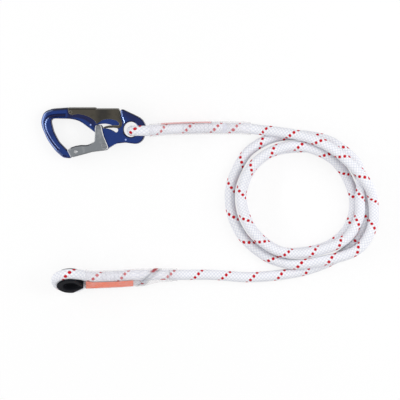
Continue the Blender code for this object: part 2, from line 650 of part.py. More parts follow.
def hook_loop_path(hook_matrix):
    """Centre of the sewn eye at the hook: under the rim, up through the rope eye and back over the rim."""
    clear = EDGE_R + LOOP_RISE + ROPE_D / 2
    near, far, z = EYE_BORE_R + EDGE_R, EYE_R - EDGE_R, BODY_T / 2 - EDGE_R
    corners = [(far, -z, -74, -90), (near, -z, -96, -180), (near, z, -180, -264), (far, z, -270, -295)]
    turn = []
    for x, height, start, end in corners:
        centre = hook_matrix @ Vector((x, -LOOP_DROP, height))
        pieces = max(1, round(abs(end - start) / 16))
        for k in range(pieces + 1):
            angle = math.radians(start + (end - start) * k / pieces)
            turn.append(centre + clear * Vector((math.cos(angle), 0, math.sin(angle))))
    return [Vector(p) for p in HOOK_LOWER_LEG[:-1]] + turn + [Vector(p) for p in HOOK_UPPER_LEG]


def thimble_frame():
    """Matrix from the thimble's own frame (X to its point, Z across it) to the world."""
    radius = THIMBLE_BORE_R + THIMBLE_WALL + GAP + ROPE_D / 2
    height = ROPE_D / 2 + 0.1 + radius * math.sin(math.radians(THIMBLE_TILT))
    place = Matrix.Translation((*THIMBLE_AT, height))
    return place @ Matrix.Rotation(math.radians(THIMBLE_TILT), 4, "X")


def thimble_legs():
    """The lower and upper legs of the thimble eye, the lower one lying on the table."""
    tilt = math.radians(THIMBLE_TILT)
    across = Vector((0, math.cos(tilt), math.sin(tilt)))
    lower = [Vector(p) for p in THIMBLE_LOWER_LEG]
    return lower, [p + gap * across for p, gap in zip(lower, THIMBLE_LEG_GAPS)]


def thimble_loop_path():
    """Centre of the thimble eye: tail along the table, round the thimble and back down to the free rope."""
    lower, upper = thimble_legs()
    frame = thimble_frame()
    radius = THIMBLE_BORE_R + THIMBLE_WALL + GAP + ROPE_D / 2
    turn = []
    for k in range(12):
        angle = math.radians(-90 - 190 * k / 11)
        turn.append(frame @ Vector((radius * math.cos(angle), radius * math.sin(angle), 0)))
    end = Vector(ROPE_ROUTE[-1])
    back = (end - Vector(ROPE_ROUTE[-2])).normalized()
    lead = [Vector((56.0, -153.7, 14.4)), Vector((67.0, -153.6, 10.6)), end + 4 * back, end + GAP * back]
    return [Vector(THIMBLE_TAIL_END)] + lower[::-1] + turn + upper + lead


def make_thimble(material):
    """Plastic thimble: a grooved ring drawn out to a point between the rope's legs."""
    frame = thimble_frame() @ Matrix.Rotation(math.radians(-THIMBLE_SAG), 4, "Z")
    floor_r = THIMBLE_BORE_R + THIMBLE_WALL
    lip, half = THIMBLE_FLANGE_R - floor_r, THIMBLE_W / 2
    inner_half = half - THIMBLE_WALL
    section = [(-THIMBLE_WALL, -half + 1), (-THIMBLE_WALL, half - 1), (-THIMBLE_WALL + 1, half), (lip - 0.6, half)]
    section += [(lip, half - 0.6), (lip, inner_half + 0.4), (1.4, inner_half), (0, inner_half - 1.6)]
    section += [(r, -z) for r, z in section[::-1] if (r, z) not in section[:2]]
    stations = []
    for angle in range(THIMBLE_SIDE_FROM, 361 - THIMBLE_SIDE_FROM, 10):
        a = math.radians(angle)
        stations.append((floor_r * math.cos(a), floor_r * math.sin(a), math.cos(a), math.sin(a)))
    nose = math.radians(THIMBLE_SIDE_NORMAL)
    x0, y0, _, _ = stations[0]
    for sign, place in ((1, 0), (-1, len(stations) + 1)):
        x = x0 + THIMBLE_SIDE_LENGTH * math.cos(nose - math.radians(90))
        y = y0 + THIMBLE_SIDE_LENGTH * math.sin(nose - math.radians(90))
        stations.insert(place, (x, sign * y, math.cos(nose), sign * math.sin(nose)))
    rings = [[frame @ Vector((x + r * nx, y + r * ny, z)) for r, z in section] for x, y, nx, ny in stations]
    thimble = add_object("thimble", loft("thimble", rings), material)
    shoulder = THIMBLE_SHOULDER_ANGLE
    outline = [(THIMBLE_TIP, 0), *arc((0, 0), THIMBLE_FLANGE_R, shoulder, 360 - shoulder, 24)]
    trim = cutter("thimble_trim", slab("thimble_trim", [outline], THIMBLE_W + 4))
    trim.matrix_world = Matrix.Translation(frame.translation * MM) @ frame.to_3x3().to_4x4()
    combine(thimble, trim, "INTERSECT")
    return thimble


def make_hook():
    """The snap hook, leaning on its nose with its eye lifted."""
    blue = principled("anodised_blue", (0.02, 0.05, 0.26), 0.35, 0.8)
    dark = principled("blued_steel", (0.05, 0.048, 0.045), 0.45, 0.9)
    grey = principled("plated_steel", (0.32, 0.33, 0.34), 0.4, 0.9)
    bright = principled("bright_steel", (0.6, 0.6, 0.6), 0.3, 1.0)
    lean = math.asin((EYE_LIFT - BODY_T / 2) / (NOSE_REACH - SPINE_EDGE_R))
    hook = bpy.data.objects.new("hook_frame", None)
    LANYARD.objects.link(hook)
    hook.location = Vector((*EYE_AT, EYE_LIFT)) * MM
    hook.rotation_euler = (0, -lean, 0)
    make_body(hook, blue)
    make_lever(hook, dark)
    make_gate(hook, grey)
    plate = GATE_INSIDE / 2 + SHEET_T + PIN_FIT
    rivet("gate_pivot_rivet", GATE_PIVOT, GATE_PIVOT_R, plate, dark, hook)
    rivet("gate_nose_rivet", NOSE_RIVET, NOSE_RIVET_R, plate, bright, hook)
    rivet("lever_pivot_rivet", LEVER_PIVOT, LEVER_PIVOT_R, LEVER_INSIDE / 2 + SHEET_T + PIN_FIT, bright, hook)
    tail = add_object("gate_tail_pin", cylinder("gate_tail_pin", TAIL_PIN_R, -plate, plate), grey, hook)
    tail.location = Vector((*tail_pin_place(), 0)) * MM
    make_spacer("gate_spacer_top", 1, hook, bright)
    make_spacer("gate_spacer_under", -1, hook, bright)
    make_gate_spring(hook, bright)
    make_lever_spring(hook, bright)
    return Matrix.Translation((*EYE_AT, EYE_LIFT)) @ Matrix.Rotation(-lean, 4, "Y")


def make_hook_eye(hook_matrix, rope, thread, paper, film):
    """The sewn eye through the hook, its stitching, label and clear sleeve."""
    path = hook_loop_path(hook_matrix)
    tube("hook_eye_loop", smooth_path(path, LOOP_POINT_COUNT), ROPE_D / 2, rope)
    lower = smooth_path(HOOK_LOWER_LEG, 40)
    upper = smooth_path(HOOK_UPPER_LEG, 40)
    stitching("hook_end_stitching", lower, upper, 96, 132, 8, thread)
    label("hook_end_label", lower, upper, stations(73, 127), 19, 24, paper)
    end = Vector((169.6, 4.2, 7.4))
    drop = [Vector((147, 5.0, 16.6)), Vector((154, 5.0, 12.4)), Vector((162, 4.8, 8.6)), end + Vector((0, 0, 0.2))]
    down = smooth_path(upper + drop, 60)
    along = lower[::-1] + [end]
    places = stations(60.2, 156) + [159.0, 161.5, 164.0, 166.5, 169.6]
    sleeve("hook_end_sleeve", along, down, places, film)


def sleeve(name, lower, upper, places, film):
    """Clear shrink sleeve over both legs."""
    outer = wrap_rings(lower, upper, places, SLEEVE_R + SLEEVE_T)
    inner = wrap_rings(lower, upper, places, SLEEVE_R)
    return add_object(name, shell(name, outer, inner), film)


def make_thimble_eye(rope, thread, paper, film, plastic):
    """The sewn eye round the thimble, its stitching, label and clear sleeve."""
    make_thimble(plastic)
    path = thimble_loop_path()
    tube("thimble_eye_loop", smooth_path(path, LOOP_POINT_COUNT), ROPE_D / 2, rope)
    lower, upper = (smooth_path(leg, 50) for leg in thimble_legs())
    stitching("thimble_end_stitching", lower, upper, 8, 35, 6, thread)
    label("thimble_end_label", lower, upper, stations(-7.9, 43), 10, 13, paper)
    end = Vector(ROPE_ROUTE[-2])
    down = smooth_path(upper + path[-4:-1] + [end], 70)
    tail = [Vector(THIMBLE_TAIL_END), Vector((61, -157.0, 8.2)), Vector((70, -154.8, 8.4))]
    along = smooth_path(lower + tail + [end - Vector((0, 0, 0.1))], 70)
    sleeve("thimble_end_sleeve", along, down, stations(-8.3, 90.6), film)


def main():
    """Builds the whole lanyard."""
    white = principled("white_polyamide_rope", (0.82, 0.82, 0.85), 0.85)
    thread = principled("white_thread", (0.9, 0.9, 0.9), 0.7)
    pink = principled("pink_label", (0.95, 0.55, 0.5), 0.6)
    salmon = principled("salmon_label", (0.95, 0.3, 0.18), 0.6)
    film = principled("clear_shrink_film", (0.9, 0.9, 0.92), 0.25, alpha=0.4)
    black = principled("black_polyamide", (0.01, 0.01, 0.011), 0.4)
    hook_matrix = make_hook()
    make_hook_eye(hook_matrix, white, thread, pink, film)
    make_thimble_eye(white, thread, salmon, film, black)
    path = [Vector(ROPE_ROUTE[0])] + smooth_path(ROPE_ROUTE[1:-1], ROPE_POINT_COUNT) + [Vector(ROPE_ROUTE[-1])]
    for point in path:
        point.z = max(point.z, ROPE_D / 2 + 0.1)
    tube("rope", path, ROPE_D / 2, white)


for old in list(bpy.data.objects):
    bpy.data.objects.remove(old)
LANYARD = collection("rope_lanyard_with_snap_hook")
CUTTERS = collection("cutters")
main()
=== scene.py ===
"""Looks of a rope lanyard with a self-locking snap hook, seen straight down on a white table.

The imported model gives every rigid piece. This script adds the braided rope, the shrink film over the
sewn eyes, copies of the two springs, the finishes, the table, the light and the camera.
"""

from __future__ import annotations

import logging
import math
from dataclasses import dataclass
from enum import Enum

import bmesh
import bpy
from mathutils import Matrix, Vector

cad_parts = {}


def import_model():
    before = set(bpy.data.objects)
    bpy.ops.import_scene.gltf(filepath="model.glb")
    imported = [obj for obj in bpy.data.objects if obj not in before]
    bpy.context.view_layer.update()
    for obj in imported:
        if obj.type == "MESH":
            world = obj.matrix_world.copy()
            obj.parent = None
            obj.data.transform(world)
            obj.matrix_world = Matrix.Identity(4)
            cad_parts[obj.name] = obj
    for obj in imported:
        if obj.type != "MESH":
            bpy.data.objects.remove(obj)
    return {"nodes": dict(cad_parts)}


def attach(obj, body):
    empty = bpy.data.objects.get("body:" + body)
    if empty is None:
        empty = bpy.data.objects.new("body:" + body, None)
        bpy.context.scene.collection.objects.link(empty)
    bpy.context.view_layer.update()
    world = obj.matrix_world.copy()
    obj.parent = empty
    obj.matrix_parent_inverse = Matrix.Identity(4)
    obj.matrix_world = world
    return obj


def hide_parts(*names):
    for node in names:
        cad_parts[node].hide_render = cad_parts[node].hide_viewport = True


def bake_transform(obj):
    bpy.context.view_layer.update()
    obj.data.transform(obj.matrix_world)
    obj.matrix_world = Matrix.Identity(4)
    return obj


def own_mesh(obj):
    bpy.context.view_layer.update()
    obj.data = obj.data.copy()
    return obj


LOG = logging.getLogger("lanyard")

# Sizes are in millimetres where they are not marked otherwise
MM = 0.001
ROPE_D = 11.0
SEWN_Z = ROPE_D / 2 + 1.85  # the rope's height inside its sewn ends
LIE_Z = ROPE_D / 2 + 0.1  # its height where it lies on the table
HOOK_ORIGIN = (40.6, 3.3, 17.3)  # middle of the hook's rope eye
HOOK_LEAN = math.asin(0.131692)  # the hook lies with its nose low
HOOK_TURN = Matrix.Rotation(-HOOK_LEAN, 3, "Y")
SPAN_DIVISIONS = 12  # steps between two points of a smooth path
WELD_M = 1e-6  # points nearer than this, in metres, are one

# The free rope's centre line in millimetres, as the model has it: out of the hook's sleeve, three
# and a half turns, and back into the thimble's sleeve.
ROPE_ROUTE = [
    (159, 5, SEWN_Z), (162.5, 5, SEWN_Z), (182, 2.5, 10), (192.5, 1.5, 14.5), (232.5, -6, 23.5),
    (261.5, -20.5, 27.5), (294, -53.5, 26.5), (301, -72, 16.5), (302, -94.5, 14), (298, -108.5, 16),
    (288.5, -123, 17.5), (275.5, -131, 17), (228.5, -141.5, 15), (213.5, -142, 12), (199.5, -139, 7.5),
    (186, -133.5, 5.6), (162, -113.5, 5.6), (149, -86.5, 5.6), (148, -58.5, 5.6), (160, -30, 5.6),
    (169.5, -18.5, 5.6), (193.5, -5.5, 5.6), (223, -3, 6), (251, -8, 12.5), (265, -15.5, 16.5),
    (285.5, -36, 17), (288.5, -57.5, 16.5), (287.5, -68.5, 15), (286, -92.5, 15), (269, -117, 17),
    (211.5, -130.5, 17), (183, -118.5, 17), (164, -93, 17), (159.5, -62.5, 17), (172, -35.5, 17),
    (196.5, -18.5, 17), (222.5, -14.5, 17), (256.5, -27.5, 14.5), (274, -49.5, 6.5), (281.5, -76, 5.6),
    (274.5, -103, 5.6), (253.5, -122, 5.6), (211.5, -130, 5.6), (196.5, -126, 5.6), (172.5, -106.5, 5.6),
    (160.5, -77.5, 5.6), (160.5, -62.5, 5.6), (172.5, -36, 5.6), (196.5, -19.5, 5.6), (249, -18, 5.6),
    (273.5, -29.5, 5.6), (290.5, -53.5, 5.6), (295, -81.5, 5.6), (289, -107.5, 5.6), (271.5, -129, 5.6),
    (232.5, -147.5, 5.6), (172.5, -156, 5.6), (128, -153.5, 6), (91, -153.5, 7.4), (82, -153.5, 8),
]


def linear(colour: str) -> tuple[float, float, float, float]:
    """Turns an sRGB colour written as "#rrggbb" into linear light.

    Args:
        colour: The colour as it would be picked on a screen.

    Returns:
        Red, green, blue and an alpha of one, for a shader.
    """
    values = [int(colour[k : k + 2], 16) / 255 for k in (1, 3, 5)]
    return (*[v / 12.92 if v <= 0.04045 else ((v + 0.055) / 1.055) ** 2.4 for v in values], 1.0)


def add_node(
    tree: bpy.types.NodeTree, kind: str, inputs: dict | None = None, output: int | str = 0,
    **settings: object,
) -> bpy.types.NodeSocket:
    """Adds a shader node with its settings and links.

    Args:
        tree: The material's or world's node tree.
        kind: The node's type name, after "ShaderNode".
        inputs: Value or output socket for each input, by name or index.
        output: The output to hand back, by name or index.
        **settings: Properties of the node itself, such as operation.

    Returns:
        That output. Its node gives the others.
    """
    node = tree.nodes.new(f"ShaderNode{kind}")
    for key, value in settings.items():
        setattr(node, key, value)
    for key, value in (inputs or {}).items():
        if isinstance(value, bpy.types.NodeSocket):
            tree.links.new(value, node.inputs[key])
        else:
            node.inputs[key].default_value = value
    return node.outputs[output]


def new_material(name: str) -> tuple[bpy.types.Material, bpy.types.NodeTree, bpy.types.Node]:
    """Makes a material that holds only a Principled shader.

    Args:
        name: The material's name.

    Returns:
        The material, its node tree and its shader.
    """
    material = bpy.data.materials.new(name)
    material.use_nodes = True
    tree = material.node_tree
    return material, tree, tree.nodes["Principled BSDF"]


def in_millimetres(tree: bpy.types.NodeTree) -> bpy.types.NodeSocket:
    """Object coordinates in millimetres, so that a pattern's scale is a real size.

    Args:
        tree: The node tree.

    Returns:
        The scaled coordinates.
    """
    place = add_node(tree, "TexCoord", output="Object")
    return add_node(tree, "VectorMath", {0: place, "Scale": 1 / MM}, operation="SCALE")


def along_hook(
    tree: bpy.types.NodeTree, vector: bpy.types.NodeSocket, way: tuple[float, float, float]
) -> bpy.types.NodeSocket:
    """Size of a vector along one of the leaning hook's own directions.

    Args:
        tree: The node tree.
        vector: The vector, in the model's directions.
        way: The direction, in the hook's own.

    Returns:
        The size.
    """
    towards = HOOK_TURN @ Vector(way)
    return add_node(tree, "VectorMath", {0: vector, 1: towards}, "Value", operation="DOT_PRODUCT")


class Twist(Enum):
    """Way in which the tracer yarn runs round the rope."""

    LEFT = -1
    RIGHT = 1


class RopeEnd(Enum):
    """The lanyard's two sewn ends, as the model's nodes name them."""

    HOOK = "hook_end"
    THIMBLE = "thimble_end"


@dataclass(frozen=True)
class BraidFinish:
    """Braided polyamide sheath with one coloured tracer yarn, and painted shade between its yarns."""

    name: str
    white: str = "#fbfbfd"
    # Colour of the painted shade in the grooves between the yarns
    groove: str = "#dadde8"
    soil: str = "#c9cbd6"
    soil_share: float = 0.07
    soil_per_mm: float = 0.06
    tracer: str = "#c6041a"
    # A fleck's radius and the softness of its rim, in yarn widths
    fleck_size: float = 0.6
    fleck_soft: float = 0.06
    # A real sheath has 16 yarns or more each way. Eight are drawn, since finer ones would not show
    carriers: int = 8
    lay_mm: float = 30.0
    twist: Twist = Twist.LEFT
    # A power under one makes each yarn full and round, with narrow grooves between
    crown: float = 0.6
    filaments: int = 5
    filament_height: float = 0.25
    bump: float = 0.5
    depth_mm: float = 0.3
    # Spun polyamide scatters light, so the rope has hardly any shine
    roughness: float = 0.82
    specular: float = 0.25

    def material(self) -> bpy.types.Material:
        """Makes the sheath from the tube's own coordinates: millimetres along it and turns round it.

        Returns:
            The material.
        """
        material, tree, shader = new_material(self.name)
        split = add_node(tree, "SeparateXYZ", {0: add_node(tree, "UVMap", uv_map="along")}).node.outputs
        run = add_node(tree, "Math", {0: split[0], 1: self.twist.value / self.lay_mm}, operation="MULTIPLY")
        first, second = (
            add_node(
                tree, "Math",
                {0: add_node(tree, "Math", {0: split[1], 1: run}, operation=way), 1: self.carriers},
                operation="MULTIPLY",
            )
            for way in ("SUBTRACT", "ADD")
        )
        crowns = {0: self._crown(tree, first), 1: self._crown(tree, second)}
        crown = add_node(tree, "Math", crowns, operation="MULTIPLY")
        # Painted shade: the grooves between the yarns' crowns take the darker colour
        lattice = {0: crown, 6: linear(self.groove), 7: linear(self.white)}
        sheath = add_node(tree, "Mix", lattice, 2, data_type="RGBA")
        place = in_millimetres(tree)
        soil = add_node(tree, "TexNoise", {"Vector": place, "Scale": self.soil_per_mm, "Detail": 3.0})
        soiled = add_node(tree, "MapRange", {0: soil, 3: self.soil_share, 4: 0.0})
        sheath = add_node(tree, "Mix", {0: soiled, 6: sheath, 7: linear(self.soil)}, 2, data_type="RGBA")
        fleck = self._fleck(tree, first, second)
        sheath = add_node(tree, "Mix", {0: fleck, 6: sheath, 7: linear(self.tracer)}, 2, data_type="RGBA")
        tree.links.new(sheath, shader.inputs["Base Color"])
        fibres = self._fibres(tree, first, second)
        raised = {0: fibres, 1: self.filament_height, 2: crown}
        height = add_node(tree, "Math", raised, operation="MULTIPLY_ADD")
        relief = {"Height": height, "Strength": self.bump, "Distance": self.depth_mm * MM}
        tree.links.new(add_node(tree, "Bump", relief), shader.inputs["Normal"])
        shader.inputs["Roughness"].default_value = self.roughness
        shader.inputs["Specular IOR Level"].default_value = self.specular
        return material

    def _crown(self, tree: bpy.types.NodeTree, across: bpy.types.NodeSocket) -> bpy.types.NodeSocket:
        """Rounds each yarn.

        Args:
            tree: The node tree.
            across: Count of yarns passed in one direction.

        Returns:
            The height, from 0 at a yarn's edges to 1 along its middle.
        """
        part = add_node(tree, "Math", {0: across}, operation="FRACT")
        angle = add_node(tree, "Math", {0: part, 1: math.pi}, operation="MULTIPLY")
        wave = add_node(tree, "Math", {0: angle}, operation="SINE")
        wave = add_node(tree, "Math", {0: wave, 1: 0.0}, operation="MAXIMUM")
        return add_node(tree, "Math", {0: wave, 1: self.crown}, operation="POWER")

    def _fleck(
        self, tree: bpy.types.NodeTree, first: bpy.types.NodeSocket, second: bpy.types.NodeSocket
    ) -> bpy.types.NodeSocket:
        """Round spot where the one tracer yarn comes to the top, at every second crossing.

        Args:
            tree: The node tree.
            first: Count of the tracer's own yarns passed.
            second: Count of the crossing yarns passed.

        Returns:
            The spot's share, from 0 to 1.
        """
        # Counted so that the spot, half way across both yarns, is clear of where a count starts again
        ahead = add_node(tree, "Math", {0: first, 1: 1.5}, operation="ADD")
        turned = add_node(tree, "Math", {0: ahead, 1: self.carriers}, operation="FLOORED_MODULO")
        beside = add_node(tree, "Math", {0: second, 1: 0.5}, operation="ADD")
        passed = add_node(tree, "Math", {0: beside, 1: 2.0}, operation="FLOORED_MODULO")
        crossing = add_node(tree, "CombineXYZ", {0: turned, 1: passed})
        middle = {0: crossing, 1: (2.0, 1.0, 0.0)}
        far = add_node(tree, "VectorMath", middle, "Value", operation="DISTANCE")
        rim = {0: far, 1: self.fleck_size + self.fleck_soft, 2: self.fleck_size - self.fleck_soft}
        return add_node(tree, "MapRange", rim)

    def _fibres(
        self, tree: bpy.types.NodeTree, first: bpy.types.NodeSocket, second: bpy.types.NodeSocket
    ) -> bpy.types.NodeSocket:
        """Fine lines along whichever yarn is on top.

        Args:
            tree: The node tree.
            first: Count of yarns passed in one direction.
            second: Count of yarns passed in the other.

        Returns:
            The lines' height, from -1 to 1.
        """
        lines, floors = [], []
        for across in (first, second):
            floors.append(add_node(tree, "Math", {0: across}, operation="FLOOR"))
            angle = {0: across, 1: 2 * math.pi * self.filaments}
            turned = add_node(tree, "Math", angle, operation="MULTIPLY")
            lines.append(add_node(tree, "Math", {0: turned}, operation="SINE"))
        cell = add_node(tree, "Math", {0: floors[0], 1: floors[1]}, operation="ADD")
        under = add_node(tree, "Math", {0: cell, 1: 2.0}, operation="FLOORED_MODULO")
        return add_node(tree, "Mix", {0: under, 2: lines[0], 3: lines[1]})


@dataclass(frozen=True)
class PaintedEdgeLight:
    """Painted light and shade on the roundings that face one way, given in the hook's own directions."""

    facing: tuple[float, float, float]
    start: float
    full: float
    colour: str
    metallic: float = 0.9
    both_ways: bool = False

    def share(self, tree: bpy.types.NodeTree) -> bpy.types.NodeSocket:
        """How much of the colour a surface takes, from the way it faces.

        Args:
            tree: The node tree.

        Returns:
            The share, from 0 to 1.
        """
        normal = add_node(tree, "TexCoord", output="Normal")
        towards = along_hook(tree, normal, self.facing)
        if self.both_ways:
            towards = add_node(tree, "Math", {0: towards}, operation="ABSOLUTE")
        return add_node(tree, "MapRange", {0: towards, 1: self.start, 2: self.full})


@dataclass(frozen=True)
class MetalFinish:
    """Metal with a fine grain, slow colour drift, a few rubbed spots, and painted light and shade on its
    roundings.
    """

    name: str
    colour: str
    worn: str
    roughness: float = 0.4
    metallic: float = 0.9
    # The real grain, about 0.1 mm from blasting and drawing, is too fine to show and is drawn coarser
    grain_mm: float = 0.5
    grain_depth_mm: float = 0.1
    bump: float = 0.15
    wear: float = 0.25
    drift_per_mm: float = 0.12
    rubbed_from: float = 0.52
    rubbed_to: float = 0.78
    smoother: float = 0.07
    rougher: float = 0.1
    # Painted highlights and painted shade on the roundings, by the way they face
    edges: tuple[PaintedEdgeLight, ...] = ()
    coat: float = 0.0
    coat_roughness: float = 0.12

    def material(self) -> bpy.types.Material:
        """Makes the metal.

        Returns:
            The material.
        """
        material, tree, shader = new_material(self.name)
        place = in_millimetres(tree)
        fine = add_node(tree, "TexNoise", {"Vector": place, "Scale": 1 / self.grain_mm, "Detail": 4.0})
        slow = add_node(tree, "TexNoise", {"Vector": place, "Scale": self.drift_per_mm, "Detail": 5.0})
        rubbed = add_node(tree, "MapRange", {0: slow, 1: self.rubbed_from, 2: self.rubbed_to, 4: self.wear})
        tones = {0: rubbed, 6: linear(self.colour), 7: linear(self.worn)}
        colour = self._painted_light(tree, place, add_node(tree, "Mix", tones, 2, data_type="RGBA"))
        metallic = self.metallic
        shader.inputs["Metallic"].default_value = metallic
        # Paints light and shade on the roundings by the way they face
        for edge_light in self.edges:
            share = edge_light.share(tree)
            colour = add_node(tree, "Mix", {0: share, 6: colour, 7: linear(edge_light.colour)}, 2, data_type="RGBA")
            metallic = add_node(tree, "Mix", {0: share, 2: metallic, 3: edge_light.metallic})
        if self.edges:
            tree.links.new(metallic, shader.inputs["Metallic"])
        tree.links.new(colour, shader.inputs["Base Color"])
        spread = {0: fine, 3: self.roughness - self.smoother, 4: self.roughness + self.rougher}
        tree.links.new(add_node(tree, "MapRange", spread), shader.inputs["Roughness"])
        grain = {"Height": fine, "Strength": self.bump, "Distance": self.grain_depth_mm * MM}
        tree.links.new(add_node(tree, "Bump", grain), shader.inputs["Normal"])
        shader.inputs["Coat Weight"].default_value = self.coat
        shader.inputs["Coat Roughness"].default_value = self.coat_roughness
        return material

    def _painted_light(
        self, tree: bpy.types.NodeTree, place: bpy.types.NodeSocket, colour: bpy.types.NodeSocket
    ) -> bpy.types.NodeSocket:
        """Adds the finish's painted shade and highlights to its colour. A plain metal has none."""
        return colour


@dataclass(frozen=True)
class AnodisedFinish(MetalFinish):
    """Anodised forging with painted shade in its groove, under the lever and at the tip, and two small
    painted highlights.
    """

    # Colour of the painted shade in the groove
    groove: str = "#0a1248"
    # Heights off the hook's middle plane between which the groove's painted shade comes and goes
    groove_shade_heights: tuple[float, float, float, float] = (3.6, 3.8, 4.35, 4.8)
    # Two painted highlights, small light spots on the face
    pin: str = "#a9bdfa"
    painted_glint_radius: float = 0.95
    painted_glint_soft: float = 0.2
    painted_glints: tuple[tuple[float, float], ...] = ((-2.9, 8.2), (34.9, -7.9))
    # Painted shade: the hollow under the lever is a dark arc seen from above, faded out at both of its ends
    hollow: str = "#081148"
    hollow_centre: tuple[float, float] = (-21.3, -12.1)
    hollow_radii: tuple[float, float] = (27.4, 28.8)
    hollow_left: tuple[float, float] = (-30.0, -27.0)
    hollow_right: tuple[float, float] = (5.0, 0.0)
    hollow_shade_share: float = 0.9
    # Painted shade: the tip beside the rope eye darkens outwards, along this way
    tip_way: tuple[float, float, float] = (0.625, 0.78, 0)
    tip_reach: tuple[float, float] = (31.0, 37.0)
    tip_shade_share: float = 0.75

    def _painted_light(
        self, tree: bpy.types.NodeTree, place: bpy.types.NodeSocket, colour: bpy.types.NodeSocket
    ) -> bpy.types.NodeSocket:
        """Paints shade in the groove and the hollows, and paints the two small highlights.

        Args:
            tree: The node tree.
            place: Coordinates in millimetres.
            colour: The metal's colour.

        Returns:
            The colour with its painted shade and highlights.
        """
        lifted = add_node(tree, "VectorMath", {0: place, 1: HOOK_ORIGIN}, operation="SUBTRACT")
        height = add_node(tree, "Math", {0: along_hook(tree, lifted, (0, 0, 1))}, operation="ABSOLUTE")
        # Painted shade in the groove, between the heights of its walls and its bottom
        deep, bottom, wall, face = self.groove_shade_heights
        above = add_node(tree, "MapRange", {0: height, 1: deep, 2: bottom})
        below = add_node(tree, "MapRange", {0: height, 1: face, 2: wall})
        sunk = add_node(tree, "Math", {0: above, 1: below}, operation="MULTIPLY")
        colour = add_node(tree, "Mix", {0: sunk, 6: colour, 7: linear(self.groove)}, 2, data_type="RGBA")
        flat = add_node(tree, "VectorMath", {0: place, 1: (1, 1, 0)}, operation="MULTIPLY")
        # Painted shade in the hollow under the lever and at the tip
        dark = self._painted_shade(tree, flat)
        colour = add_node(tree, "Mix", {0: dark, 6: colour, 7: linear(self.hollow)}, 2, data_type="RGBA")
        # Painted highlights, as two small light spots
        for x, y in self.painted_glints:
            far = add_node(tree, "VectorMath", {0: flat, 1: (x, y, 0)}, "Value", operation="DISTANCE")
            rim = {0: far, 1: self.painted_glint_radius + self.painted_glint_soft, 2: self.painted_glint_radius - self.painted_glint_soft}
            spot = add_node(tree, "MapRange", rim)
            colour = add_node(tree, "Mix", {0: spot, 6: colour, 7: linear(self.pin)}, 2, data_type="RGBA")
        return colour

    def _painted_shade(self, tree: bpy.types.NodeTree, flat: bpy.types.NodeSocket) -> bpy.types.NodeSocket:
        """How much painted shade the hollow under the lever and the tip beside the rope eye take.

        Args:
            tree: The node tree.
            flat: Coordinates in millimetres, seen from above.

        Returns:
            The share of the dark colour.
        """
        centre = {0: flat, 1: (*self.hollow_centre, 0)}
        far = add_node(tree, "VectorMath", centre, "Value", operation="DISTANCE")
        inner, outer = self.hollow_radii
        hollow = add_node(tree, "MapRange", {0: far, 1: inner, 2: outer, 4: self.hollow_shade_share})
        run = add_node(tree, "SeparateXYZ", {0: flat})
        for start, full in (self.hollow_left, self.hollow_right):
            side = add_node(tree, "MapRange", {0: run, 1: start, 2: full})
            hollow = add_node(tree, "Math", {0: hollow, 1: side}, operation="MULTIPLY")
        out = add_node(tree, "VectorMath", {0: flat, 1: self.tip_way}, "Value", operation="DOT_PRODUCT")
        start, full = self.tip_reach
        tip = add_node(tree, "MapRange", {0: out, 1: start, 2: full, 4: self.tip_shade_share})
        return add_node(tree, "Math", {0: hollow, 1: tip}, operation="MAXIMUM")


@dataclass(frozen=True)
class LeverFinish(MetalFinish):
    """Blued sheet with painted shade in its middle and along the fold, and a painted highlight on the folded
    edge.
    """

    # Painted shade across the middle of the plate
    middle: str = "#29292b"
    middle_x: float = 10.5
    middle_width: tuple[float, float] = (10.0, 3.0)
    middle_shade_share: float = 0.6
    # Painted shade along the fold
    fold: str = "#1d1a18"
    fold_y: float = 25.3
    fold_width: tuple[float, float] = (0.9, 0.4)
    fold_shade_share: float = 0.7
    # Painted highlight on the folded edge
    rim: str = "#9a9892"
    rim_y: tuple[float, float] = (26.1, 26.5)

    def _painted_light(
        self, tree: bpy.types.NodeTree, place: bpy.types.NodeSocket, colour: bpy.types.NodeSocket
    ) -> bpy.types.NodeSocket:
        """Paints shade on the middle and along the fold, and a highlight on the folded edge.

        Args:
            tree: The node tree.
            place: Coordinates in millimetres.
            colour: The metal's colour.

        Returns:
            The colour with its painted shade and highlight.
        """
        axes = add_node(tree, "SeparateXYZ", {0: place}).node.outputs
        # Painted shade in two bands, across the middle and along the fold
        painted_shade_bands = (
            (axes[0], self.middle_x, self.middle_width, self.middle_shade_share, self.middle),
            (axes[1], self.fold_y, self.fold_width, self.fold_shade_share, self.fold),
        )
        for axis, middle, (wide, narrow), strength, dark in painted_shade_bands:
            side = add_node(tree, "Math", {0: axis, 1: middle}, operation="SUBTRACT")
            off = add_node(tree, "Math", {0: side}, operation="ABSOLUTE")
            share = add_node(tree, "MapRange", {0: off, 1: wide, 2: narrow, 4: strength})
            colour = add_node(tree, "Mix", {0: share, 6: colour, 7: linear(dark)}, 2, data_type="RGBA")
        # Painted highlight on the folded edge
        low, high = self.rim_y
        share = add_node(tree, "MapRange", {0: axes[1], 1: low, 2: high})
        return add_node(tree, "Mix", {0: share, 6: colour, 7: linear(self.rim)}, 2, data_type="RGBA")


